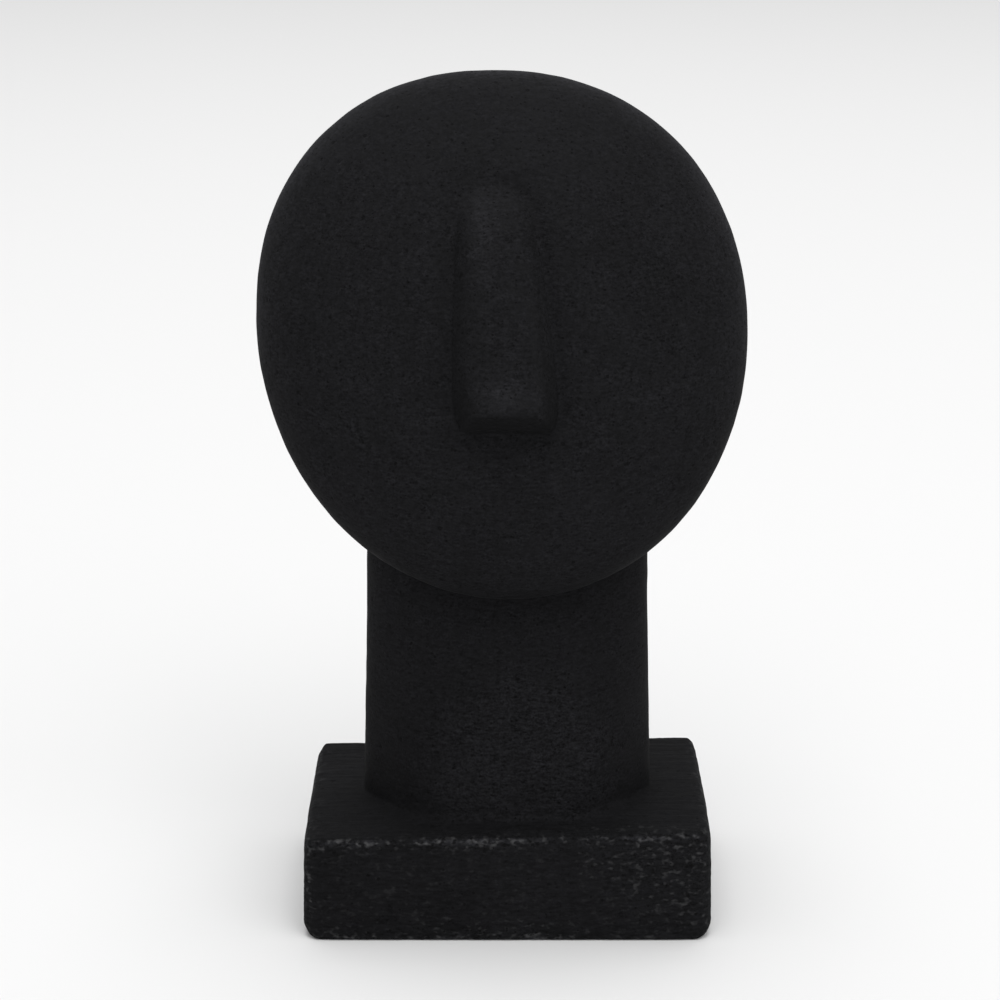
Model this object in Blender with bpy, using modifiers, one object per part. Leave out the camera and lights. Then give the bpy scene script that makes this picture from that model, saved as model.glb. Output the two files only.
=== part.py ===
"""A stylised stone head in the old Cycladic manner: a pebble-shaped face tilted back, with
only a long wedge nose, on a broad neck and a low plinth.

The work is carved from one block, so it is one solid, cycladic_head. Three closed volumes,
the face, the neck and the plinth, are shaped from primitives and joined by Boolean union.

Metres, +Z up. The face looks along -Y. The origin is the centre of the plinth's underside.
"""

import math

import bmesh
import bpy
from mathutils import Vector

# Plinth: a low block with a slightly narrower top, which rises a little to the viewer's right
PLINTH_WIDTH = 0.1212
PLINTH_DEPTH = 0.0785
PLINTH_TOP_INSET = 0.0007
PLINTH_HEIGHT_LEFT = 0.0315
PLINTH_HEIGHT_RIGHT = 0.0338
UPRIGHT_EDGE_ROUND = 0.0058
TOP_FRONT_ROUND = 0.0016
TOP_SIDE_ROUND = 0.0022
BOTTOM_SIDE_ROUND = 0.0050
BOTTOM_FRONT_ROUND = 0.0009
PLINTH_ROUND_STEPS = 4

# Neck: a column of rounded-oblong section, with an apron of stone left at the foot of its front
NECK_CENTRE_Y = 0.0022
NECK_HALF_DEPTH = 0.0182
NECK_HALF_WIDTH = 0.0417
NECK_SPREAD_SIDE = 0.0020
NECK_SPREAD_BACK = 0.0050
NECK_SPREAD_POWER = 1.4
APRON_REACH = 0.0112
APRON_FLAT_HALF = 0.0220
APRON_HALF_WIDTH = 0.0425
NECK_SQUARENESS = 2.4
CHIN_HEIGHT = 0.1070
FOOT_DEEP = 0.0040
NECK_TOP_HEIGHT = 0.1560
NECK_TOP_SCALE = 0.36
NECK_SIDES = 56
COLUMN_RINGS = 7
CROWN_RINGS = 5

# Head: an egg-shaped lens, its wide end up, tilted back and leaning a little to one side
HEAD_CENTRE = Vector((-0.0016, 0.0050, 0.1766))
HEAD_TILT = math.radians(18.0)
HEAD_LEAN = -0.031
HEAD_HALF_WIDTH = 0.0713
HEAD_UP = 0.0729
HEAD_DOWN = 0.0809
UPPER_POWER = 2.17
LOWER_POWER = 2.03
FACE_BULGE = 0.0308
BACK_BULGE = 0.0246

# Nose: a wedge in relief, narrow and low at the brow, wide and high at the tip
NOSE_TOP = 0.0358
NOSE_TIP = -0.0296
NOSE_ROOT = -0.0344
NOSE_HALF_WIDTH_TOP = 0.0099
NOSE_HALF_WIDTH_TIP = 0.0151
NOSE_TAPER_POWER = 1.6
TIP_CORNER_WIDTH = 0.0038
TIP_CORNER_LENGTH = 0.0110
NOSE_WALL_LEFT = 0.0105
NOSE_WALL_RIGHT = 0.0080
LEFT_ROUNDING = 2.5
RIGHT_ROUNDING = 2.6
TIP_ARCH = 0.0022
NOSE_LEAN = -0.023
NOSE_SHIFT = -0.0005
BRIDGE_HEIGHT = 0.0048
BRIDGE_LENGTH = 0.0090
CREST_SLOPE = 0.068
TIP_FLICK = 0.0010
TIP_FLICK_LENGTH = 0.0050
VALLEY_DEPTH = 0.0009
VALLEY_LEFT = 0.0050
VALLEY_RIGHT = 0.0030

# Grid of the head's mesh, finer where the nose stands
NOSE_COLUMNS = (0.0, 0.22, 0.42, 0.56, 0.68, 0.78, 0.87, 0.94, 1.0, 1.15, 1.45)
NOSE_COLUMN_REACH = 0.20
OUTER_COLUMNS = 5
ROWS_ON_NOSE = 11
ROWS_ON_BROW = 6
ROWS_UNDER_TIP = 4
ROWS_ABOVE = 5
ROWS_BELOW = 5
RIM_ROWS = 16

STONE_COLOUR = (0.012, 0.012, 0.013, 1.0)
STONE_ROUGHNESS = 0.9


def smooth_step(low, high, value):
    """0 below low, 1 above high, and a smooth curve between them."""
    share = min(max((value - low) / (high - low), 0.0), 1.0)
    return share * share * (3.0 - 2.0 * share)


def blend(first, second, share):
    return first + (second - first) * share


def plinth_top(x):
    """Height of the plinth's sloping top at this distance along the width."""
    return blend(PLINTH_HEIGHT_LEFT, PLINTH_HEIGHT_RIGHT, x / PLINTH_WIDTH + 0.5)


def build_plinth():
    bm = bmesh.new()
    bmesh.ops.create_cube(bm, size=1.0)
    for vert in bm.verts:
        on_top = vert.co.z > 0.0
        inset = PLINTH_TOP_INSET if on_top else 0.0
        vert.co.x *= PLINTH_WIDTH - 2.0 * inset
        vert.co.y *= PLINTH_DEPTH - 2.0 * inset
        vert.co.z = plinth_top(vert.co.x) if on_top else 0.0
    weights = bm.edges.layers.float.new("bevel_weight_edge")
    for edge in bm.edges:
        edge[weights] = plinth_edge_round(edge) / UPRIGHT_EDGE_ROUND
    return bm


def plinth_edge_round(edge):
    """Radius of this edge of the plinth: worn most at the corners and at the ends of the underside."""
    run = edge.verts[1].co - edge.verts[0].co
    if abs(run.z) > abs(run.x) + abs(run.y):
        return UPRIGHT_EDGE_ROUND
    sideways = abs(run.x) > abs(run.y)
    if edge.verts[0].co.z > 0.0:
        return TOP_FRONT_ROUND if sideways and edge.verts[0].co.y < 0.0 else TOP_SIDE_ROUND
    return BOTTOM_FRONT_ROUND if sideways else BOTTOM_SIDE_ROUND


def round_edges(plinth):
    """Rounds the plinth's edges, each by its own weight as a share of the largest radius."""
    rounding = plinth.modifiers.new("worn_edges", "BEVEL")
    rounding.limit_method = "WEIGHT"
    rounding.width = UPRIGHT_EDGE_ROUND
    rounding.segments = PLINTH_ROUND_STEPS


def neck_point(ring, angle):
    """A point of the neck's skin: ring 0 lies deep in the plinth and the last ring inside the head."""
    across = math.copysign(abs(math.cos(angle)) ** (2.0 / NECK_SQUARENESS), math.cos(angle))
    along = math.copysign(abs(math.sin(angle)) ** (2.0 / NECK_SQUARENESS), math.sin(angle))
    column = min(max((ring - 1) / COLUMN_RINGS, 0.0), 1.0)
    crown = max((ring - 1 - COLUMN_RINGS) / CROWN_RINGS, 0.0)
    spread = (1.0 - column) ** NECK_SPREAD_POWER
    shrink = blend(NECK_TOP_SCALE, 1.0, math.sqrt(1.0 - crown * crown))
    x = shrink * across * (NECK_HALF_WIDTH + NECK_SPREAD_SIDE * spread)
    y = NECK_CENTRE_Y + shrink * along * NECK_HALF_DEPTH
    if along < 0.0:
        y -= spread * APRON_REACH * (1.0 - smooth_step(APRON_FLAT_HALF, APRON_HALF_WIDTH, abs(x)))
    else:
        y += spread * NECK_SPREAD_BACK * along
    foot = plinth_top(x) - (FOOT_DEEP if ring == 0 else 0.0)
    z = blend(blend(foot, CHIN_HEIGHT, column), NECK_TOP_HEIGHT, crown)
    return Vector((x, y, z))


def build_neck():
    rings = 1 + COLUMN_RINGS + CROWN_RINGS
    bm = bmesh.new()
    bmesh.ops.create_cone(
        bm, cap_ends=True, segments=NECK_SIDES, radius1=1.0, radius2=1.0, depth=rings
    )
    upright = [edge for edge in bm.edges if abs(edge.verts[0].co.z - edge.verts[1].co.z) > 0.5]
    bmesh.ops.subdivide_edges(bm, edges=upright, cuts=rings - 1)
    for vert in bm.verts:
        ring = round(vert.co.z + rings / 2.0)
        vert.co = neck_point(ring, math.atan2(vert.co.y, vert.co.x))
    return bm


def nose_half_width(v):
    """Half the nose's width at its foot, drawn in at the tip's rounded corners."""
    up_the_nose = max((v - NOSE_TIP) / (NOSE_TOP - NOSE_TIP), 0.0)
    straight = blend(NOSE_HALF_WIDTH_TIP, NOSE_HALF_WIDTH_TOP, up_the_nose ** NOSE_TAPER_POWER)
    turn = min(max(1.0 - (v - NOSE_ROOT) / TIP_CORNER_LENGTH, 0.0), 1.0)
    return straight - TIP_CORNER_WIDTH * (1.0 - math.sqrt(1.0 - turn * turn))


def nose_centre(v):
    return NOSE_SHIFT + NOSE_LEAN * v


def nose_inset(side, v):
    """How far in from the foot of the nose's side walls this point lies; negative outside them."""
    past_arch_centre = max(v - (NOSE_TOP - NOSE_HALF_WIDTH_TOP), 0.0)
    return nose_half_width(v) - math.hypot(side, past_arch_centre)


def crest_height(v):
    """Height of the nose's ridge over the face: a quick rise at the brow, a slow one, and a flick."""
    run = max(NOSE_TOP - v, 0.0)
    rise = BRIDGE_HEIGHT * (1.0 - math.exp(-run / BRIDGE_LENGTH)) + CREST_SLOPE * run
    return rise + TIP_FLICK * math.exp(-max(v - NOSE_TIP, 0.0) / TIP_FLICK_LENGTH)


def relief(u, v):
    """Height of the carving over the plain face at u across it and v up it."""
    side = u - nose_centre(v)
    inside = nose_inset(abs(side), v)
    if side < 0.0:
        width, rounding, valley_width = NOSE_WALL_LEFT, LEFT_ROUNDING, VALLEY_LEFT
    else:
        width, rounding, valley_width = NOSE_WALL_RIGHT, RIGHT_ROUNDING, VALLEY_RIGHT
    wall = 1.0 - (1.0 - min(max(inside / width, 0.0), 1.0)) ** rounding
    tip = NOSE_TIP - TIP_ARCH * min((side / NOSE_HALF_WIDTH_TIP) ** 2, 1.0)
    underside = min(max((v - NOSE_ROOT) / (tip - NOSE_ROOT), 0.0), 1.0)
    outside = max(-inside, NOSE_ROOT - v, 0.0)
    valley = VALLEY_DEPTH * math.exp(-((outside / valley_width) ** 2))
    return (crest_height(max(v, NOSE_TIP)) + valley) * min(wall, underside) - valley


def outline_reach(u, v):
    """0 at the middle of the face, and 1 on its outline."""
    power, height = (UPPER_POWER, HEAD_UP) if v > 0.0 else (LOWER_POWER, HEAD_DOWN)
    return ((abs(u) / HEAD_HALF_WIDTH) ** power + (abs(v) / height) ** power) ** (1.0 / power)


def lens_point(direction):
    """(u across, v up, w forward) on the plain lens, for a direction from its middle."""
    sideways, up, forward = direction.normalized()
    flat = math.hypot(sideways, up)
    if flat < 1e-9:
        return 0.0, 0.0, forward
    reach = outline_reach(sideways, up)
    scale = flat / reach
    return sideways * scale, up * scale, forward


def head_point(cube_point):
    """The place on the head of a point on the surface of a cube of side 2."""
    u, v, forward = lens_point(cube_point)
    if cube_point.z > 0.999:
        share = cube_point.x / NOSE_COLUMN_REACH
        loose = smooth_step(1.3, 3.6, abs(share))
        height = HEAD_UP if cube_point.y > 0.0 else HEAD_DOWN
        straight_v = height * cube_point.y / math.hypot(1.0, cube_point.y)
        v = blend(straight_v, v, loose)
        u = blend(nose_centre(v) + share * nose_half_width(v), u, loose)
        forward = math.sqrt(1.0 - outline_reach(u, v) ** 2)
    w = forward * (FACE_BULGE if forward > 0.0 else BACK_BULGE)
    if forward > 0.0:
        w += relief(u, v)
    up_the_face = Vector((HEAD_LEAN, math.sin(HEAD_TILT), math.cos(HEAD_TILT)))
    out_of_face = Vector((0.0, -math.cos(HEAD_TILT), math.sin(HEAD_TILT)))
    return HEAD_CENTRE + Vector((u, 0.0, 0.0)) + up_the_face * v + out_of_face * w


def row_at(v):
    """Where on the cube's front the row lies that comes to this height on the face."""
    share = v / (HEAD_UP if v > 0.0 else HEAD_DOWN)
    return share / math.sqrt(1.0 - share * share)


def between(first, last, count):
    """count values from after first up to last."""
    return [blend(first, last, (i + 1) / count) for i in range(count)]


def grid_cuts():
    """The columns, rows and rim rows that divide the cube, as coordinates from -1 to 1."""
    columns = [share * NOSE_COLUMN_REACH for share in NOSE_COLUMNS]
    columns += between(columns[-1], 1.0, OUTER_COLUMNS)[:-1]
    columns = sorted({-x for x in columns} | set(columns))
    rows = between(-1.0, row_at(NOSE_ROOT), ROWS_BELOW)
    rows += between(row_at(NOSE_ROOT), row_at(NOSE_TIP), ROWS_UNDER_TIP)
    rows += between(row_at(NOSE_TIP), row_at(NOSE_TOP - NOSE_HALF_WIDTH_TOP), ROWS_ON_NOSE)
    rows += between(row_at(NOSE_TOP - NOSE_HALF_WIDTH_TOP), row_at(NOSE_TOP), ROWS_ON_BROW)
    rows += between(row_at(NOSE_TOP), 1.0, ROWS_ABOVE)[:-1]
    flatness = FACE_BULGE / HEAD_DOWN
    turn = math.atan(1.0 / flatness)
    rims = [flatness * math.tan(angle) for angle in between(-turn, turn, RIM_ROWS)[:-1]]
    return columns, rows, rims


def build_head():
    bm = bmesh.new()
    bmesh.ops.create_cube(bm, size=2.0)
    for axis, cuts in enumerate(grid_cuts()):
        normal = Vector((0.0, 0.0, 0.0))
        normal[axis] = 1.0
        for cut in cuts:
            everything = bm.verts[:] + bm.edges[:] + bm.faces[:]
            bmesh.ops.bisect_plane(bm, geom=everything, plane_co=normal * cut, plane_no=normal)
    for vert in bm.verts:
        vert.co = head_point(vert.co)
    return bm


def clear_scene():
    for obj in list(bpy.data.objects):
        bpy.data.objects.remove(obj)


def stone_material():
    material = bpy.data.materials.new("dark_stone")
    material.use_nodes = True
    shader = material.node_tree.nodes["Principled BSDF"]
    shader.inputs["Base Color"].default_value = STONE_COLOUR
    shader.inputs["Roughness"].default_value = STONE_ROUGHNESS
    shader.inputs["Metallic"].default_value = 0.0
    return material


def new_collection(name):
    collection = bpy.data.collections.new(name)
    bpy.context.scene.collection.children.link(collection)
    return collection


def add_volume(name, bm, collection):
    bmesh.ops.recalc_face_normals(bm, faces=bm.faces)
    mesh = bpy.data.meshes.new(name)
    bm.to_mesh(mesh)
    bm.free()
    obj = bpy.data.objects.new(name, mesh)
    collection.objects.link(obj)
    return obj


def join(obj, volume):
    """Adds the volume to the object by Boolean union and keeps the volume out of the render."""
    union = obj.modifiers.new(volume.name, "BOOLEAN")
    union.operation = "UNION"
    union.solver = "EXACT"
    union.object = volume
    volume.hide_render = True
    volume.display_type = "WIRE"


def main():
    clear_scene()
    sculpture = new_collection("cycladic_head_sculpture")
    volumes = new_collection("joined_volumes")
    head = add_volume("cycladic_head", build_head(), sculpture)
    head.data.materials.append(stone_material())
    head.data.shade_smooth()
    head.data.set_sharp_from_angle(angle=math.radians(40.0))
    plinth = add_volume("plinth_volume", build_plinth(), volumes)
    round_edges(plinth)
    join(head, add_volume("neck_volume", build_neck(), volumes))
    join(head, plinth)


main()
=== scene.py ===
"""The looks of a stone head in the old Cycladic manner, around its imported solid.

The solid's facets become curved surfaces and its joins soften, then the carver's marks, the
stone's pits and the worn edges are cut into a fine mesh. The finer grain is in the material.

Metres, +Z up. The face looks along -Y.
"""

import itertools
import math
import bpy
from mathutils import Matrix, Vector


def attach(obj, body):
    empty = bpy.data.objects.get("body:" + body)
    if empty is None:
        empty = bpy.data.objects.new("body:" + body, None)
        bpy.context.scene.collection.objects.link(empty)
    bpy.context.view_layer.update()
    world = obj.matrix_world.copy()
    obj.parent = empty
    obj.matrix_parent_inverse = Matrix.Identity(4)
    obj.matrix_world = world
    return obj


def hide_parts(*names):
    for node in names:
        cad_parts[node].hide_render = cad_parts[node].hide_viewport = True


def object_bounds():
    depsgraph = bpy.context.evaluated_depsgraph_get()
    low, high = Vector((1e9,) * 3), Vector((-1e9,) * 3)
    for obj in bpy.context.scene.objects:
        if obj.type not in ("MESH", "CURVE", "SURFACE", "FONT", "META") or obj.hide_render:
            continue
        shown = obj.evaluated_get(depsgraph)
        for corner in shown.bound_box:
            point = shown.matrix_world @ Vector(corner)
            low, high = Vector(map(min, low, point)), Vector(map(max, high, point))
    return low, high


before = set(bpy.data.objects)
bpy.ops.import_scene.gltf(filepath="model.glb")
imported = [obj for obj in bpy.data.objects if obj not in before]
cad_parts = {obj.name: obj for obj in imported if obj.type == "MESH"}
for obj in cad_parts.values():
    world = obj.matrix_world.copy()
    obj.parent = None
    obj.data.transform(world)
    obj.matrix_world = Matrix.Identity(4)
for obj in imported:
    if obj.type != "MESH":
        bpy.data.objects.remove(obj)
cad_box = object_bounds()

from types import SimpleNamespace

import bmesh
import bpy
import numpy as np
from mathutils import Vector

# Curved surface made from the solid's facets
WELD_DISTANCE = 0.00001
FACET_ANGLE = math.radians(14.0)
JOIN_ANGLE = math.radians(20.0)
JOINS_BELOW = 0.147
CURVE_LEVELS = 2
FILL_ROUNDS = 3
FILL_SHARE = 0.8
VOXEL = 0.0005
SMOOTHING = (0.5, -0.52)
SMOOTHING_ROUNDS = 10
HALFWAY = 0.5
WEAR_ROUNDS = 60
HOLLOW_ROUNDS = 64
MOST_TRIANGLES = 194000

# The plinth, the neck and the face, where the marks are placed
PLINTH_WIDTH = 0.1212
PLINTH_DEPTH = 0.0785
PLINTH_HEIGHT_LEFT = 0.0315
PLINTH_HEIGHT_RIGHT = 0.0338
FRONT_MIDDLE_HEIGHT = 0.016
NECK_FOOT = 0.034
FOOT_LINE_RAISED = 0.001
CHIN_HEIGHT = 0.107
BROW_HEIGHT = 0.205
FACE_TILT = math.radians(18.6)
FACE_FRONT = np.array((0.0, -math.cos(FACE_TILT), math.sin(FACE_TILT)))
FACE_MIDDLE = (0.0, -0.020, 0.180)
NOSE_CREST = np.array((-0.0072, -0.018, 0.2075))
NOSE_CREST_REACH = (0.0044, 0.02, 0.0115)
NOSE_TIP = np.array((-0.0018, -0.038, 0.1655))
NOSE_TIP_REACH = (0.0055, 0.02, 0.0050)
NOSE_ROOT_HEIGHT = 0.224
NOSE_FOOT_HEIGHT = 0.148
NOSE_MARGIN = 0.004

# Where marks fade in, as pairs: the value where they are nil, then the value where they are full.
# X, Y and Z are places, GAP is a distance, and FACING is how far the skin faces that way.
GROUND_Z = (0.0, 0.0015)
PLINTH_FRONT_Y = (-0.030, -0.036)
PLINTH_TOP_GAP = (0.0012, 0.0002)
ARRIS_GAP = (0.0034, 0.0012)
ARRIS_Z = (0.0, 0.004)
NOSE_SIDE_X = (0.026, 0.018)
NOSE_FRONT_Y = (0.0, -0.006)
FOOT_LINE_GAP = (0.011, 0.003)
FOOT_LINE_BACK_Y = (-0.012, -0.018)
FOOT_LINE_FRONT_Y = (-0.0380, -0.0355)
SCRAPED_Z = (NECK_FOOT + 0.030, NECK_FOOT)
BRUSHED_Z = (NECK_FOOT + 0.024, NECK_FOOT)
PECKED_Y = (-0.010, -0.016)
PECKED_Z = (0.030, 0.036)
TOP_STRIP_GAP = (0.0008, 0.0)
FRONT_EDGE_Z = (0.020, 0.028)
FRONT_EDGE_END_X = (0.038, 0.050)
HIGH_RIGHT_X = (0.012, 0.028)
HIGH_RIGHT_Z = (0.016, 0.027)
FAR_RIGHT_X = (0.026, 0.044)
FRONT_FOOT_Z = (0.010, 0.002)
RIM_FACING = (0.82, 0.20)
RIM_BACK_FACING = (-0.35, 0.05)
RIM_Z = (0.150, 0.190)
CROWN_Z = (0.200, 0.225)
REAR_LEFT_X = (-0.028, -0.042)
REAR_LEFT_Y = (-0.012, 0.008)
UP_FACING = (0.5, 0.9)
TOP_FACING = (0.6, 0.9)
NOSE_WALL_FACING = (0.84, 0.52)
NOSE_WALL_END_Z = (NOSE_FOOT_HEIGHT + 0.010, NOSE_FOOT_HEIGHT)
UNDER_NOSE_FACING = (-0.10, -0.65)
TOP_SHADE_Y = (-0.024, -0.030)
TOP_SHADE_X = (0.058, 0.034)
TOP_SHADE_GAP = (0.004, 0.001)
NECK_SHADE_Z = (CHIN_HEIGHT + 0.004, CHIN_HEIGHT - 0.004)
LEFT_SHADE_X = (-0.004, -0.024)
LEFT_SHADE_Z = (0.100, 0.050)
HOLLOW_GAP = (0.0002, 0.0012)
JAW_FACING = (0.85, 0.40)
JAW_Z = (0.165, 0.135)

# Carver's marks, as depths and sizes
FULLNESS = 0.00022
HAND_WAVE_DEPTH = 0.00012
HAND_WAVE_SIZE = 0.017
DRESSING_DEPTH = 0.00007
DRESSING_SIZE = 0.0042
STREAK_DEPTH = 0.00007
STREAK_LENGTH = 0.016
STREAK_WIDTH = 0.0012
PECK_DEPTH = 0.00014
PECK_SIZE = 0.0018
PECK_ARCH_MIDDLE = (0.003, 0.046)
PECK_ARCH_REACH = (0.030, 0.032)
PECK_ARCH_RIM = (1.15, 0.65)
CHIP_DEPTH = 0.0009
CHIP_SIZE = 0.0030
CHIP_REACH = 0.0022
CHIP_LEVELS = (-0.10, 0.65)
CHIP_ON_EVERY_EDGE = 0.6
CHIP_MORE_IN_FRONT = 0.4
ARRIS_WEAR = 0.7
NOSE_WEAR = 0.2
PIT_SPACING = 0.0060
PIT_RADIUS = 0.0009
PIT_DEPTH = 0.00045
SMALL_PIT_SPACING = 0.55 * PIT_SPACING
SMALL_PIT_RADIUS = 0.75 * PIT_RADIUS

# How strong the bruises, the rubbed places, the painted sheen and highlight, and the painted shade
# are
BRUISE_REACH = 0.0026
BRUISE_PATCH_SIZE = 0.008
LEFT_EDGE_INSET = 0.0024
LEFT_EDGE_REACH = 0.0014
FRONT_EDGE_BRUISE = 1.15
FRONT_EDGE_FADE = 0.50
OTHER_EDGE_BRUISE = 0.65
LEFT_EDGE_BRUISE = 0.5
HIGH_RIGHT_BRUISE = 0.37
FAR_RIGHT_BRUISE = 0.26
FRONT_BRUISE = 0.04
FRONT_FOOT_BRUISE = 0.12
TOP_STRIP_SPARED = 0.85
CREST_RUB = 0.9
TIP_WEAR_AND_HIGHLIGHT = 1.3
RIM_SHEEN = 1.9
CROWN_SHEEN = 1.3
REAR_LEFT_LIGHTER = 0.55
NOSE_WALL_SHADE = 0.85
TOP_SHADE = 0.7
CORNER_SHADE = 0.6
NECK_SHADE = 0.26
LEFT_NECK_SHADE = 1.2
JAW_SHADE = 0.35

# Camera, lights and stage
CAMERA_PLACE = (-0.002155, -0.740294, 0.349950)
CAMERA_PITCH = math.radians(73.0)
SENSOR = 36.0
LENS = 94.55
LIGHT_DISTANCE = 4.0
LIGHT_SIZE = 2.56
LIGHT_AIM = Vector((0.0, 0.0, 0.12))
# Softboxes: azimuth from the front, elevation, and watts
SOFTBOXES = {
    "overhead": (0.0, 90.0, 42.1),
    "high_front": (0.0, 60.0, 36.1),
    "front_right": (45.0, 45.0, 22.1),
    "high_back": (180.0, 75.0, 32.4),
}
ROOM_LIGHT = 0.6
FLOOR_SIZE = 24.0
FLOOR_GAP = 0.0001
FLOOR_COLOUR = (0.80, 0.80, 0.80, 1.0)

# The stone's colours and gloss
STONE_COLOUR = (0.0069, 0.0069, 0.0078)
BRUISE_COLOUR = (0.070, 0.070, 0.072)
GLOSS = 0.105
ROUGHNESS = (0.80, 0.92)

# The sizes of its grain and marks in metres, and how much longer they are along x, y and z
RING_WIDTH = 0.0007
GRAIN = 0.0006
FLECK = 0.0008
FLECK_STRETCH = (2.0, 2.0, 1.0)
KNOCK = 0.0012
CRUMB = 0.0014
SMALL_CRUMB = CRUMB * 0.6
CRUMB_STRETCH = (1.5, 1.5, 1.0)
SCRAPE = STREAK_WIDTH * 0.7
WALL_SCRAPE_STRETCH = (4.0, 4.0, 1.0)
TOP_SCRAPE_STRETCH = (9.0, 1.0, 9.0)
BLOTCH = 0.0055
CLOUD = 0.024

# Scattered spots: their spacing in metres, the share of places that have one, and their radius
# as a share of the spacing
PORE = 0.0013
FINE_PORES = (PORE, 0.36, 0.36)
WIDE_PORES = (PORE * 2.4, 0.20, 0.28)
PALE_SPOTS = (PORE * 1.2, 0.25, 0.40)

# Tones: 1 is the stone's own colour, and a contrast is how far a texture swings the tone
MIDDLE_TONE = 1.07
GRAIN_CONTRAST = 1.8
BLOTCH_CONTRAST = 0.8
CLOUD_CONTRAST = 0.5
RING_CONTRAST = 0.5
STREAK_CONTRAST = 1.65

# The grain's contrast against its usual one: in dark and pale blotches, on the brow, how far
# above the brow's start that holds, and what brushing, pecking and battering add
BLOTCHY_GRAIN = (0.65, 1.35)
BROW_GRAIN = 0.7
BROW_FADE = 0.03
BRUSHED_GRAIN = -0.42
PECKED_GRAIN = 0.55
BATTERED_GRAIN = 1.2

# How strong the streaks are on the pecked patch, and how much fainter they are on top faces
PECKED_STREAKS = 0.3
TOP_STREAKS = -0.45

# How much lighter or darker than the rest each kind of place is
PECKED_TONE = 0.22
# Rubbed wear, with painted sheen on the head's rim and crown and a painted highlight on the nose's
# tip
WEAR_AND_SHEEN_TONE = 0.55
# Painted shade in the recesses, under the nose and chin, and on the neck's left and the jaw
PAINTED_SHADE_TONE = -0.50
PALE_SPOT_TONE = 0.22
# Painted shade in the pores and knocked-out holes
HOLE_SHADE_TONE = -0.55
BATTERED_TONE = 1.2
BATTERED_LEVELS = (0.30, 0.75)

# Bruises and knocked-out grains: where the noise makes one, and how battering brings it on
BRUISE_LEVELS = (0.97, 1.44)
BRUISES_BROUGHT_ON = 0.20
BRUISE_POWER = 0.6
BRUISED_HOLE_TONE = -0.8
KNOCK_LEVELS = (0.21, 0.35)
KNOCKS_BROUGHT_ON = -0.20
KNOCKED_LEVELS = (0.05, 0.25)

# Bump: its strength, its height in metres, and what each part adds to it
BUMP_STRENGTH = 0.6
BUMP_HEIGHT = 0.0003
GRAIN_RELIEF = 0.5
FLECK_RELIEF = 0.8
USUAL_RELIEF = 0.6
PECKED_RELIEF = 0.8
HOLE_RELIEF = 0.8


def smooth_step(low, high, values):
    """0 before low, 1 past high, and a smooth curve between them: low may be the larger number."""
    share = np.clip((values - low) / (high - low), 0.0, 1.0)
    return share * share * (3.0 - 2.0 * share)


def bell(distance, reach):
    """1 at no distance, fading smoothly to about a third at reach."""
    return np.exp(-((distance / reach) ** 2))


def hashed(cells, seed):
    """A number from 0 to 1 for each whole-number cell, the same in every run."""
    mixed = cells @ np.array((73856093, 19349663, 83492791)) + seed * 374761393
    mixed = (mixed ^ (mixed >> 13)) * 1274126177 & 0xFFFFFFFF
    mixed = (mixed ^ (mixed >> 15)) * 2246822519 & 0xFFFFFFFF
    return ((mixed ^ (mixed >> 16)) & 0xFFFF) / 65535.0


def soft_noise(points, size, seed):
    """Smooth noise from -1 to 1: size is how wide its bumps are, one number or x, y and z."""
    scaled = points / np.asarray(size)
    cells = np.floor(scaled).astype(np.int64)
    share = scaled - cells
    share = share * share * (3.0 - 2.0 * share)
    total = np.zeros(len(points))
    for corner in itertools.product((0, 1), repeat=3):
        weight = np.prod(np.where(corner, share, 1.0 - share), axis=1)
        total += weight * hashed(cells + np.array(corner), seed)
    return 2.0 * total - 1.0


def pits(points, spacing, radius, seed):
    """0 outside the scattered pits, and up to 1 at their middles: small pits are shallower."""
    cells = np.floor(points / spacing).astype(np.int64)
    depth = np.zeros(len(points))
    for step in itertools.product((-1, 0, 1), repeat=3):
        cell = cells + np.array(step)
        middle = np.stack([hashed(cell, seed + axis) for axis in range(3)], axis=1)
        distance = np.linalg.norm(points - (cell + middle) * spacing, axis=1)
        size = radius * (0.35 + 0.65 * hashed(cell, seed + 3) ** 2)
        depth = np.maximum(depth, smooth_step(1.0, 0.3, distance / size) * size / radius)
    return depth


def plinth_top(x):
    """Height of the plinth's top, which rises a little to the viewer's right."""
    share = x / PLINTH_WIDTH + 0.5
    return PLINTH_HEIGHT_LEFT + (PLINTH_HEIGHT_RIGHT - PLINTH_HEIGHT_LEFT) * share


def edge_distance(points):
    """How far each point of the plinth's skin lies from the nearest edge of the plinth."""
    x, y, z = points.T
    to_faces = np.stack([
        PLINTH_WIDTH / 2.0 - np.abs(x), PLINTH_DEPTH / 2.0 - np.abs(y), plinth_top(x) - z, z,
    ])
    return np.sort(np.abs(to_faces), axis=0)[1]


def on_plinth(points):
    """1 on the plinth and 0 on the neck and the face."""
    return smooth_step(*PLINTH_TOP_GAP, points[:, 2] - plinth_top(points[:, 0]))


def curved_surface(node):
    """A fine mesh of the solid: its facets are smoothed into curves, and its carved edges stay."""
    bm = bmesh.new()
    bm.from_mesh(node.data)
    bmesh.ops.remove_doubles(bm, verts=bm.verts, dist=WELD_DISTANCE)
    bmesh.ops.join_triangles(
        bm, faces=bm.faces[:], angle_face_threshold=FACET_ANGLE, angle_shape_threshold=math.pi
    )
    creases = bm.edges.layers.float.new("crease_edge")
    for edge in bm.edges:
        below = max(vert.co.z for vert in edge.verts) < JOINS_BELOW
        if below and edge.calc_face_angle() > JOIN_ANGLE:
            edge[creases] = 1.0
    mesh = bpy.data.meshes.new("carved_head")
    bm.to_mesh(mesh)
    bm.free()
    obj = bpy.data.objects.new("carved_head", mesh)
    bpy.context.scene.collection.objects.link(obj)
    curves = obj.modifiers.new("curves", "SUBSURF")
    curves.levels = curves.render_levels = CURVE_LEVELS
    fill_out(obj)
    remesh = obj.modifiers.new("remesh", "REMESH")
    remesh.mode = "VOXEL"
    remesh.voxel_size = VOXEL
    apply_modifiers(obj)
    return obj


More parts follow.
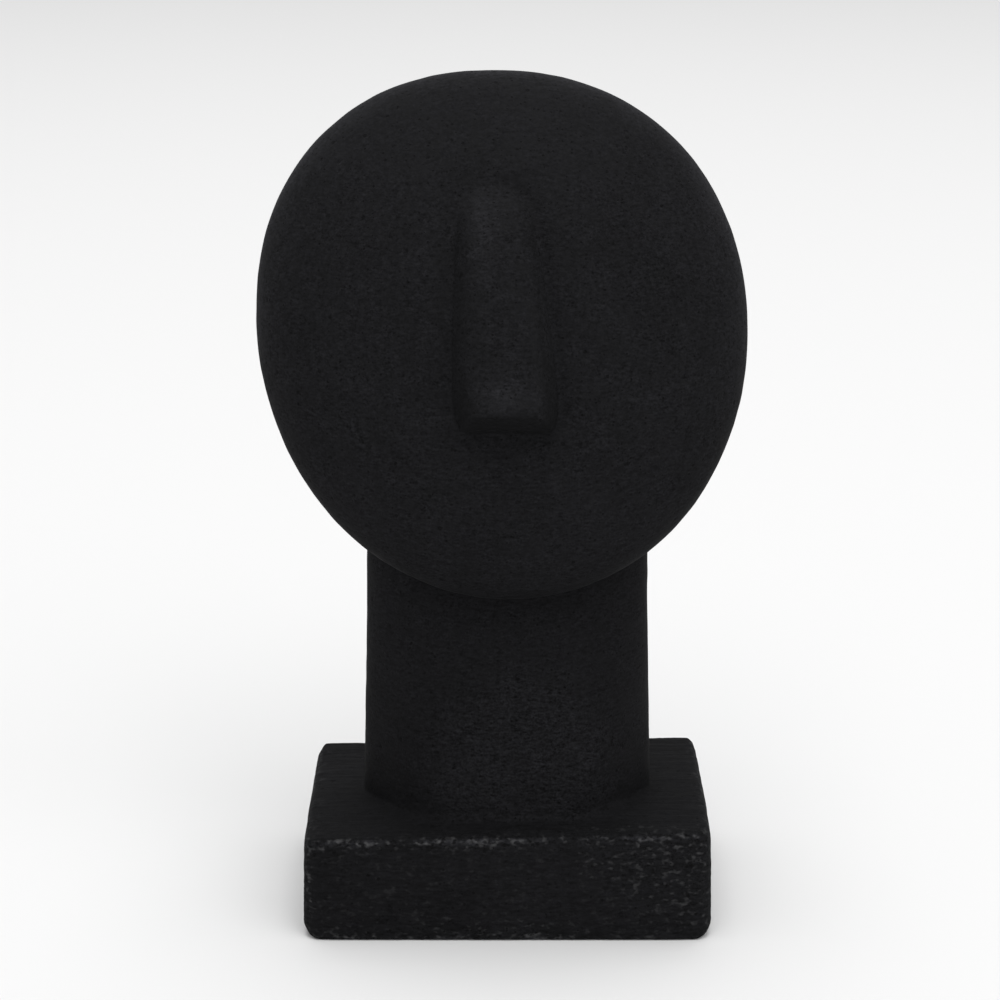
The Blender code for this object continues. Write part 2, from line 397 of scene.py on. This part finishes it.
def fill_out(obj):
    """Moves the solid's corners above the plinth so that the curved surface nearly meets them."""
    corners = vertex_values(obj.data, "co")
    cage = corners.copy()
    where = smooth_step(NECK_FOOT, NECK_FOOT + 0.004, corners[:, 2])[:, None]
    for _ in range(FILL_ROUNDS):
        graph = bpy.context.evaluated_depsgraph_get()
        curved = bpy.data.meshes.new_from_object(obj.evaluated_get(graph))
        short = corners - vertex_values(curved, "co")[:len(corners)]
        cage += FILL_SHARE * where * short
        bpy.data.meshes.remove(curved)
        move_vertices(obj.data, cage)


def apply_modifiers(obj):
    graph = bpy.context.evaluated_depsgraph_get()
    rough = obj.data
    obj.data = bpy.data.meshes.new_from_object(obj.evaluated_get(graph))
    obj.modifiers.clear()
    bpy.data.meshes.remove(rough)


def vertex_values(mesh, name):
    values = np.empty(len(mesh.vertices) * 3, np.float32)
    mesh.vertices.foreach_get(name, values)
    return values.reshape(-1, 3).astype(float)


def relax(mesh, points, shares, where=1.0):
    """Moves the points towards the middle of their neighbours, once for each share given."""
    edges = np.empty(len(mesh.edges) * 2, np.int32)
    mesh.edges.foreach_get("vertices", edges)
    first, second = edges.reshape(-1, 2).T
    count = np.bincount(edges, minlength=len(points))[:, None]
    for share in shares:
        total = np.stack([
            np.bincount(first, points[second, axis], len(points))
            + np.bincount(second, points[first, axis], len(points))
            for axis in range(3)
        ], axis=1)
        points = points + share * where * (total / count - points)
    return points


def arris_mask(points):
    """1 along the plinth's upright and top edges, which are worn round."""
    edges = smooth_step(*ARRIS_GAP, edge_distance(points))
    return edges * on_plinth(points) * smooth_step(*ARRIS_Z, points[:, 2])


def nose_mask(points):
    """1 on the nose and close around it."""
    x, y, z = points.T
    across = smooth_step(*NOSE_SIDE_X, np.abs(x)) * smooth_step(*NOSE_FRONT_Y, y)
    top = smooth_step(NOSE_ROOT_HEIGHT + NOSE_MARGIN, NOSE_ROOT_HEIGHT - NOSE_MARGIN, z)
    return across * top * smooth_step(NOSE_FOOT_HEIGHT - NOSE_MARGIN, NOSE_FOOT_HEIGHT, z)


def foot_mask(points):
    """1 around the line where the neck's front runs out onto the plinth."""
    x, y, z = points.T
    near = smooth_step(*FOOT_LINE_GAP, np.abs(z - plinth_top(x) - FOOT_LINE_RAISED))
    return near * smooth_step(*FOOT_LINE_BACK_Y, y) * smooth_step(*FOOT_LINE_FRONT_Y, y)


def carving_depth(points, normals):
    """How far the stone is worn or cut back at each point."""
    pecked = neck_peck_mask(points)
    depth = HAND_WAVE_DEPTH * (1.0 + soft_noise(points, HAND_WAVE_SIZE, 1))
    depth += DRESSING_DEPTH * (1.0 + soft_noise(points, DRESSING_SIZE, 2))
    depth += STREAK_DEPTH * scrape_marks(points, normals)
    depth += PECK_DEPTH * pecked * (1.0 + soft_noise(points, PECK_SIZE, 5))
    depth += CHIP_DEPTH * edge_chips(points)
    depth += PIT_DEPTH * pits(points, PIT_SPACING, PIT_RADIUS, 8)
    small_pits = pits(points, SMALL_PIT_SPACING, SMALL_PIT_RADIUS, 12)
    depth += PIT_DEPTH * (0.5 + 0.5 * pecked) * small_pits
    above_ground = smooth_step(*GROUND_Z, points[:, 2])
    return (depth - FULLNESS) * above_ground


def scrape_marks(points, normals):
    """Level scrapes on the plinth, fading up the neck's foot."""
    low = smooth_step(*SCRAPED_Z, points[:, 2])
    along_walls = soft_noise(points, (STREAK_LENGTH, STREAK_LENGTH, STREAK_WIDTH), 3)
    along_top = soft_noise(points, (STREAK_LENGTH, STREAK_WIDTH, STREAK_LENGTH), 4)
    facing_up = smooth_step(*UP_FACING, normals[:, 2])
    return low * (1.0 + along_walls + (along_top - along_walls) * facing_up)


def edge_chips(points):
    """1 where the deepest chips are broken out of the plinth's edges, most along its front."""
    broken = smooth_step(*CHIP_LEVELS, soft_noise(points, CHIP_SIZE, 6))
    broken *= 0.6 + 0.4 * soft_noise(points, CHIP_SIZE * 0.4, 7)
    edges = on_plinth(points) * bell(edge_distance(points), CHIP_REACH)
    front = smooth_step(*PLINTH_FRONT_Y, points[:, 1])
    return edges * broken * (CHIP_ON_EVERY_EDGE + CHIP_MORE_IN_FRONT * front)


def neck_peck_mask(points):
    """1 on the arch-shaped patch of the neck's front that was left pecked and rough."""
    x, y, z = points.T
    across = (x - PECK_ARCH_MIDDLE[0]) / PECK_ARCH_REACH[0]
    up = (z - PECK_ARCH_MIDDLE[1]) / PECK_ARCH_REACH[1]
    arch = smooth_step(*PECK_ARCH_RIM, np.hypot(across, up))
    return arch * smooth_step(*PECKED_Y, y) * smooth_step(*PECKED_Z, z)


def bruise_mask(points):
    """Where the plinth was knocked pale: most along its top front edge, then over its right end."""
    x, y, z = points.T
    front = smooth_step(*PLINTH_FRONT_Y, y)
    top_strip = front * smooth_step(*TOP_STRIP_GAP, plinth_top(x) - z)
    edges = bell(edge_distance(points), BRUISE_REACH)
    fading = 1.0 - FRONT_EDGE_FADE * smooth_step(*FRONT_EDGE_END_X, x)
    top_front = FRONT_EDGE_BRUISE * edges * front * smooth_step(*FRONT_EDGE_Z, z) * fading
    knocked = front * front_knocks(x, z)
    battered = np.max([top_front, OTHER_EDGE_BRUISE * edges, knocked], axis=0)
    patchy = 0.70 + 0.45 * soft_noise(points, BRUISE_PATCH_SIZE, 9)
    return on_plinth(points) * battered * patchy * (1.0 - TOP_STRIP_SPARED * top_strip)


def front_knocks(x, z):
    """How battered the plinth's front is: a band up its left edge, its right end, and its foot."""
    from_left_edge = x + 0.5 * PLINTH_WIDTH - LEFT_EDGE_INSET
    left_edge = LEFT_EDGE_BRUISE * bell(from_left_edge, LEFT_EDGE_REACH)
    high_right = HIGH_RIGHT_BRUISE * smooth_step(*HIGH_RIGHT_X, x) * smooth_step(*HIGH_RIGHT_Z, z)
    wider_above = x + 0.4 * (z - FRONT_MIDDLE_HEIGHT)
    far_right = FAR_RIGHT_BRUISE * smooth_step(*FAR_RIGHT_X, wider_above)
    foot = FRONT_BRUISE + FRONT_FOOT_BRUISE * smooth_step(*FRONT_FOOT_Z, z)
    return np.max([high_right, far_right, foot, left_edge], axis=0)


def wear_and_sheen_mask(points, normals):
    """Where the stone is paler: rubbed wear on the nose's crest, wear with a painted highlight on
    its tip, a painted sheen on the head's rim and crown, and lighter on the plinth's top, rear
    left.
    """
    x, y, z = points.T
    crest = np.linalg.norm((points - NOSE_CREST) / NOSE_CREST_REACH, axis=1)
    tip = np.linalg.norm((points - NOSE_TIP) / NOSE_TIP_REACH, axis=1)
    forward = normals @ FACE_FRONT
    rim = smooth_step(*RIM_FACING, forward) * smooth_step(*RIM_BACK_FACING, forward)
    rim *= RIM_SHEEN * smooth_step(*RIM_Z, z) + CROWN_SHEEN * smooth_step(*CROWN_Z, z)
    rear_left = smooth_step(*REAR_LEFT_X, x) * smooth_step(*REAR_LEFT_Y, y)
    rear_left *= REAR_LEFT_LIGHTER * on_plinth(points)
    return np.max([CREST_RUB * bell(crest, 1.0), TIP_WEAR_AND_HIGHLIGHT * bell(tip, 1.0), rim, rear_left], axis=0)


def brushed_mask(points):
    """Horizontal scraping: on the plinth, and fading up the neck's foot."""
    foot = 0.6 * smooth_step(*BRUSHED_Z, points[:, 2])
    return np.maximum(foot, on_plinth(points))


def painted_shade_mask(points, normals, hollows):
    """Painted shade: how much darker the nose's walls and underside, the inner corners, the
    plinth's top in front of the neck, the neck under the chin and on its left, and the jaw are
    painted.
    """
    x, y, z = points.T
    forward = normals @ FACE_FRONT
    beside = nose_mask(points)
    nose_walls = NOSE_WALL_SHADE * beside * smooth_step(*NOSE_WALL_FACING, forward)
    nose_walls *= 1.0 - 0.5 * smooth_step(*NOSE_WALL_END_Z, z)
    under_nose = beside * smooth_step(*UNDER_NOSE_FACING, normals[:, 2])
    plinth = TOP_SHADE * smooth_step(*TOP_SHADE_Y, y) * smooth_step(*TOP_SHADE_X, np.abs(x))
    plinth *= smooth_step(*TOP_FACING, normals[:, 2])
    plinth *= smooth_step(*TOP_SHADE_GAP, z - plinth_top(x))
    neck = NECK_SHADE * smooth_step(*NECK_SHADE_Z, z)
    left = smooth_step(*LEFT_SHADE_X, x) * smooth_step(*LEFT_SHADE_Z, z)
    neck *= 1.0 + LEFT_NECK_SHADE * left
    corners = CORNER_SHADE * smooth_step(*HOLLOW_GAP, hollows) * (1.0 - foot_mask(points))
    jaw = JAW_SHADE * smooth_step(*JAW_FACING, forward) * smooth_step(*JAW_Z, z)
    return np.max([nose_walls, under_nose, plinth, corners, neck, jaw], axis=0)


def hollow_depth(mesh, points, normals):
    """How far each point lies inside the blurred surface: more than 0 in a hollow."""
    blurred = relax(mesh, points, [HALFWAY] * HOLLOW_ROUNDS)
    return np.einsum("ij,ij->i", blurred - points, normals)


def move_vertices(mesh, points):
    mesh.vertices.foreach_set("co", points.ravel())
    mesh.update()


def carve(obj):
    """Smooths the voxels' steps away, wears the edges round, then cuts in the marks."""
    points = vertex_values(obj.data, "co")
    points = relax(obj.data, points, SMOOTHING * SMOOTHING_ROUNDS)
    worn = [foot_mask(points), ARRIS_WEAR * arris_mask(points), NOSE_WEAR * nose_mask(points)]
    points = relax(obj.data, points, [HALFWAY] * WEAR_ROUNDS, np.max(worn, axis=0)[:, None])
    move_vertices(obj.data, points)
    normals = vertex_values(obj.data, "normal")
    points -= normals * carving_depth(points, normals)[:, None]
    move_vertices(obj.data, np.clip(points, cad_box[0], cad_box[1]))


def thin_out(obj):
    """Drops the triangles that the shape doesn't need."""
    thin = obj.modifiers.new("thin_out", "DECIMATE")
    thin.ratio = MOST_TRIANGLES / (2.0 * len(obj.data.polygons))
    apply_modifiers(obj)
    obj.data.shade_smooth()


def add_mask(mesh, name, values):
    layer = mesh.attributes.new(name, "FLOAT", "POINT")
    layer.data.foreach_set("value", values.astype(np.float32))


def add_node(tree, kind, values=None, **settings):
    """Adds a shader node: values gives its inputs, each a constant or another node's socket."""
    new = tree.nodes.new("ShaderNode" + kind)
    for name, setting in settings.items():
        setattr(new, name, setting)
    for name, value in (values or {}).items():
        if isinstance(value, bpy.types.NodeSocket):
            tree.links.new(value, new.inputs[name])
        else:
            new.inputs[name].default_value = value
    return new


def calc(tree, operation, first, second=0.0, third=0.0):
    values = {0: first, 1: second, 2: third}
    return add_node(tree, "Math", values, operation=operation).outputs[0]


def between(tree, value, low, high, to_low=0.0, to_high=1.0):
    """Turns low to high into to_low to to_high, smoothly and clipped."""
    values = {
        "Value": value, "From Min": low, "From Max": high, "To Min": to_low, "To Max": to_high,
    }
    return add_node(tree, "MapRange", values, interpolation_type="SMOOTHSTEP").outputs["Result"]


def noise(tree, place, size, detail=1.0, stretch=(1.0, 1.0, 1.0)):
    """Noise from 0 to 1 with features of this size in metres, or longer along some axes."""
    if stretch != (1.0, 1.0, 1.0):
        place = stretched(tree, place, stretch)
    values = {"Vector": place, "Scale": 1.0 / size, "Detail": detail, "Roughness": 0.6}
    return add_node(tree, "TexNoise", values).outputs["Fac"]


def stretched(tree, place, stretch):
    scale = tuple(1.0 / times for times in stretch)
    return add_node(tree, "Mapping", {"Vector": place, "Scale": scale}).outputs["Vector"]


def spots(tree, place, spacing, share, radius):
    """1 inside scattered round spots: share is how many cells have one, and radius is in cells."""
    cells = add_node(tree, "TexVoronoi", {"Vector": place, "Scale": 1.0 / spacing})
    parts = add_node(tree, "SeparateColor", {"Color": cells.outputs["Color"]})
    chosen = between(tree, calc(tree, "ADD", parts.outputs["Red"], share), 1.0, 1.01)
    size = calc(tree, "MULTIPLY_ADD", parts.outputs["Green"], 0.6 * radius, 0.4 * radius)
    reach = calc(tree, "DIVIDE", cells.outputs["Distance"], size)
    inside = between(tree, reach, 0.55, 1.0, 1.0, 0.0)
    return calc(tree, "MULTIPLY", inside, chosen)


def mask(tree, name):
    return add_node(tree, "Attribute", attribute_name=name).outputs["Fac"]


def scaled_colour(tree, colour, factor):
    """A fixed colour made lighter or darker by a factor."""
    values = {"Vector": colour, "Scale": factor}
    return add_node(tree, "VectorMath", values, operation="SCALE").outputs["Vector"]


def add_tone(tree, tone, texture, amount):
    """Adds a texture's swing about its middle to the tone."""
    return calc(tree, "MULTIPLY_ADD", calc(tree, "SUBTRACT", texture, 0.5), amount, tone)


def scale_tone(tree, tone, share, change):
    """Makes the tone lighter or darker by this share of itself where share is 1."""
    return calc(tree, "MULTIPLY", tone, calc(tree, "MULTIPLY_ADD", share, change, 1.0))


def brushing(tree, place):
    """Fine streaks from scraping: level on the walls, and from side to side on top faces."""
    walls = noise(tree, place, SCRAPE, 1.5, stretch=WALL_SCRAPE_STRETCH)
    tops = noise(tree, place, SCRAPE, 1.0, stretch=TOP_SCRAPE_STRETCH)
    turn = calc(tree, "MULTIPLY", calc(tree, "SUBTRACT", tops, walls), mask(tree, "facing_up"))
    return calc(tree, "ADD", walls, turn)


def sanding(tree, place):
    """Faint rings around the middle of the face, left by rubbing it down."""
    arm = add_node(tree, "VectorMath", {0: place, 1: FACE_MIDDLE}, operation="SUBTRACT").outputs[0]
    radius = add_node(tree, "VectorMath", {0: arm}, operation="LENGTH").outputs["Value"]
    way = add_node(tree, "VectorMath", {0: arm}, operation="NORMALIZE").outputs[0]
    ring = calc(tree, "DIVIDE", radius, RING_WIDTH)
    bearing = add_node(tree, "VectorMath", {0: way, "Scale": 7.0}, operation="SCALE").outputs[0]
    values = {"Vector": bearing, "W": ring, "Scale": 1.0, "Detail": 1.0}
    return add_node(tree, "TexNoise", values, noise_dimensions="4D").outputs["Fac"]


def bruises(tree, place, battered):
    """Pale crushed spots, a little longer than high: brighter and closer where more battered."""
    broad = noise(tree, place, CRUMB, 0.0, stretch=CRUMB_STRETCH)
    small = noise(tree, place, SMALL_CRUMB, 0.5, stretch=CRUMB_STRETCH)
    swing = calc(tree, "MULTIPLY_ADD", small, 0.8, broad)
    swing = calc(tree, "MULTIPLY_ADD", battered, BRUISES_BROUGHT_ON, swing)
    strength = calc(tree, "POWER", battered, BRUISE_POWER)
    return calc(tree, "MULTIPLY", between(tree, swing, *BRUISE_LEVELS), strength)


def knocked_out(tree, place, battered):
    """Grains lost from the battered parts, leaving holes that the colour paints dark as shade."""
    swing = noise(tree, place, KNOCK, 1.0, stretch=CRUMB_STRETCH)
    swing = calc(tree, "MULTIPLY_ADD", battered, KNOCKS_BROUGHT_ON, swing)
    gaps = between(tree, swing, *KNOCK_LEVELS, 1.0, 0.0)
    return calc(tree, "MULTIPLY", gaps, between(tree, battered, *KNOCKED_LEVELS))


def holes(tree, place, battered):
    """1 in the stone's pores and where its grains were knocked out."""
    fine = spots(tree, place, *FINE_PORES)
    wide = spots(tree, place, *WIDE_PORES)
    pores = calc(tree, "MAXIMUM", fine, wide)
    return calc(tree, "MAXIMUM", pores, knocked_out(tree, place, battered))


def stone_parts(tree):
    """The masks and textures that the stone's colour and its relief share."""
    place = add_node(tree, "TexCoord").outputs["Object"]
    battered = mask(tree, "bruise")
    return SimpleNamespace(
        place=place,
        battered=battered,
        pecked=mask(tree, "pecked"),
        brushed=mask(tree, "brushed"),
        grain=noise(tree, place, GRAIN, 2.0),
        fleck=noise(tree, place, FLECK, 1.0, stretch=FLECK_STRETCH),
        blotch=noise(tree, place, BLOTCH, 2.0),
        streak=brushing(tree, place),
        hole=holes(tree, place, battered),
    )


def grain_contrast(tree, stone):
    """Patchy, calmer on the brow and where brushed, stronger where pecked or battered."""
    up = add_node(tree, "SeparateXYZ", {"Vector": stone.place}).outputs["Z"]
    patchy = between(tree, stone.blotch, 0.3, 0.7, *BLOTCHY_GRAIN)
    calmer = between(tree, up, BROW_HEIGHT, BROW_HEIGHT + BROW_FADE, 1.0, BROW_GRAIN)
    contrast = calc(tree, "MULTIPLY", patchy, calmer)
    contrast = calc(tree, "MULTIPLY_ADD", stone.brushed, BRUSHED_GRAIN, contrast)
    contrast = calc(tree, "MULTIPLY_ADD", stone.pecked, PECKED_GRAIN, contrast)
    contrast = calc(tree, "MULTIPLY_ADD", stone.battered, BATTERED_GRAIN, contrast)
    return calc(tree, "MULTIPLY", contrast, GRAIN_CONTRAST)


def streak_contrast(tree, stone):
    """Full where brushed, fainter on top faces, and faint on the pecked patch."""
    scraped = calc(tree, "MULTIPLY", stone.pecked, PECKED_STREAKS)
    scraped = calc(tree, "MAXIMUM", scraped, stone.brushed)
    scraped = scale_tone(tree, scraped, mask(tree, "facing_up"), TOP_STREAKS)
    return calc(tree, "MULTIPLY", scraped, STREAK_CONTRAST)


def texture_tone(tree, stone):
    """The tone with every texture's swing added to it."""
    contrast = grain_contrast(tree, stone)
    ringed = calc(tree, "MULTIPLY_ADD", stone.brushed, -RING_CONTRAST, RING_CONTRAST)
    tone = add_tone(tree, MIDDLE_TONE, stone.grain, contrast)
    tone = add_tone(tree, tone, stone.fleck, contrast)
    tone = add_tone(tree, tone, stone.blotch, BLOTCH_CONTRAST)
    tone = add_tone(tree, tone, noise(tree, stone.place, CLOUD, 1.0), CLOUD_CONTRAST)
    tone = add_tone(tree, tone, sanding(tree, stone.place), ringed)
    return add_tone(tree, tone, stone.streak, streak_contrast(tree, stone))


def placed_tone(tree, stone):
    """The tone made lighter or darker in each kind of place, painted sheen, highlight and shade
    among them.
    """
    tone = texture_tone(tree, stone)
    tone = scale_tone(tree, tone, stone.pecked, PECKED_TONE)
    # Paler where rubbed, with a painted sheen on the head's rim and crown and a painted highlight
    # on the nose's tip
    tone = scale_tone(tree, tone, mask(tree, "worn"), WEAR_AND_SHEEN_TONE)
    # Painted shade on the nose's walls and underside, in inner corners, before the neck, under the
    # chin and on the jaw
    tone = scale_tone(tree, tone, mask(tree, "painted_shade"), PAINTED_SHADE_TONE)
    tone = scale_tone(tree, tone, spots(tree, stone.place, *PALE_SPOTS), PALE_SPOT_TONE)
    # Painted shade in the pores and knocked-out holes
    tone = scale_tone(tree, tone, stone.hole, HOLE_SHADE_TONE)
    battered = between(tree, stone.battered, *BATTERED_LEVELS)
    return scale_tone(tree, tone, battered, BATTERED_TONE)


def stone_colour(tree, stone):
    """The dark stone, with its pale bruises over it."""
    bruise = bruises(tree, stone.place, stone.battered)
    bruise = scale_tone(tree, bruise, stone.hole, BRUISED_HOLE_TONE)
    pale_tone = calc(tree, "MULTIPLY_ADD", stone.grain, 1.0, 0.5)
    colour = add_node(tree, "Mix", data_type="RGBA")
    tree.links.new(bruise, colour.inputs["Factor"])
    tree.links.new(scaled_colour(tree, STONE_COLOUR, placed_tone(tree, stone)), colour.inputs["A"])
    tree.links.new(scaled_colour(tree, BRUISE_COLOUR, pale_tone), colour.inputs["B"])
    return colour.outputs["Result"]


def stone_relief(tree, stone):
    """The grain's own relief, rougher where pecked, with sunken holes and with streaks."""
    flecks = calc(tree, "MULTIPLY", stone.fleck, FLECK_RELIEF)
    relief = calc(tree, "MULTIPLY_ADD", stone.grain, GRAIN_RELIEF, flecks)
    rougher = calc(tree, "MULTIPLY_ADD", stone.pecked, PECKED_RELIEF, USUAL_RELIEF)
    relief = calc(tree, "MULTIPLY", relief, rougher)
    relief = calc(tree, "SUBTRACT", relief, calc(tree, "MULTIPLY", stone.hole, HOLE_RELIEF))
    return calc(tree, "MULTIPLY_ADD", stone.streak, stone.brushed, relief)


def stone_material():
    """Near-black, matt, finely porous stone, with pale bruises, rubbed places, painted sheen and
    highlight, and painted shade where the masks say.
    """
    material = bpy.data.materials.new("dark_stone")
    material.use_nodes = True
    tree = material.node_tree
    shader = tree.nodes["Principled BSDF"]
    stone = stone_parts(tree)
    values = {
        "Strength": BUMP_STRENGTH, "Distance": BUMP_HEIGHT, "Height": stone_relief(tree, stone),
    }
    bump = add_node(tree, "Bump", values)
    roughness = between(tree, stone.blotch, 0.2, 0.8, *ROUGHNESS)
    tree.links.new(stone_colour(tree, stone), shader.inputs["Base Color"])
    tree.links.new(bump.outputs["Normal"], shader.inputs["Normal"])
    tree.links.new(roughness, shader.inputs["Roughness"])
    shader.inputs["Specular IOR Level"].default_value = GLOSS
    return material


def add_masks(mesh):
    """Stores on the mesh where the material changes."""
    points = vertex_values(mesh, "co")
    normals = vertex_values(mesh, "normal")
    hollows = hollow_depth(mesh, points, normals)
    add_mask(mesh, "pecked", neck_peck_mask(points))
    add_mask(mesh, "bruise", bruise_mask(points))
    # This mask holds rubbed wear, the painted sheen on the head's rim and crown, and the painted
    # highlight on the nose's tip
    add_mask(mesh, "worn", wear_and_sheen_mask(points, normals))
    add_mask(mesh, "brushed", brushed_mask(points))
    add_mask(mesh, "facing_up", smooth_step(*UP_FACING, normals[:, 2]))
    # Painted shade, stored for the material to darken the colour where shade falls
    add_mask(mesh, "painted_shade", painted_shade_mask(points, normals, hollows))


def build_head():
    """The one piece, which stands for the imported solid."""
    obj = curved_surface(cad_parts["cycladic_head"])
    carve(obj)
    thin_out(obj)
    add_masks(obj.data)
    obj.data.materials.clear()
    obj.data.materials.append(stone_material())
    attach(obj, "root")
    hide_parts("cycladic_head")


def build_camera():
    data = bpy.data.cameras.new("camera")
    data.lens = LENS
    data.sensor_width = SENSOR
    camera = bpy.data.objects.new("camera", data)
    camera.location = CAMERA_PLACE
    camera.rotation_euler = (CAMERA_PITCH, 0.0, 0.0)
    bpy.context.scene.collection.objects.link(camera)
    bpy.context.scene.camera = camera


def build_lights():
    """Four softboxes in a pale room."""
    for name, (azimuth, elevation, watts) in SOFTBOXES.items():
        turn = math.radians(azimuth)
        rise = math.radians(elevation)
        away = Vector((
            math.sin(turn) * math.cos(rise), -math.cos(turn) * math.cos(rise), math.sin(rise),
        ))
        data = bpy.data.lights.new(name, "AREA")
        data.shape = "SQUARE"
        data.size = LIGHT_SIZE
        data.energy = watts
        light = bpy.data.objects.new(name, data)
        light.location = LIGHT_AIM + away * LIGHT_DISTANCE
        light.rotation_euler = (-away).to_track_quat("-Z", "Y").to_euler()
        bpy.context.scene.collection.objects.link(light)
    world = bpy.data.worlds.new("studio")
    world.use_nodes = True
    room = world.node_tree.nodes["Background"]
    room.inputs["Color"].default_value = (1.0, 1.0, 1.0, 1.0)
    room.inputs["Strength"].default_value = ROOM_LIGHT
    bpy.context.scene.world = world


def build_floor():
    bm = bmesh.new()
    bmesh.ops.create_grid(bm, x_segments=1, y_segments=1, size=FLOOR_SIZE / 2.0)
    mesh = bpy.data.meshes.new("floor")
    bm.to_mesh(mesh)
    bm.free()
    floor = bpy.data.objects.new("floor", mesh)
    floor.location.z = -FLOOR_GAP
    bpy.context.scene.collection.objects.link(floor)
    material = bpy.data.materials.new("pale_paper")
    material.use_nodes = True
    shader = material.node_tree.nodes["Principled BSDF"]
    shader.inputs["Base Color"].default_value = FLOOR_COLOUR
    shader.inputs["Roughness"].default_value = 1.0
    shader.inputs["Specular IOR Level"].default_value = 0.0
    mesh.materials.append(material)


build_camera()
build_lights()
build_floor()
build_head()
bpy.context.scene.view_settings.view_transform = "Standard"
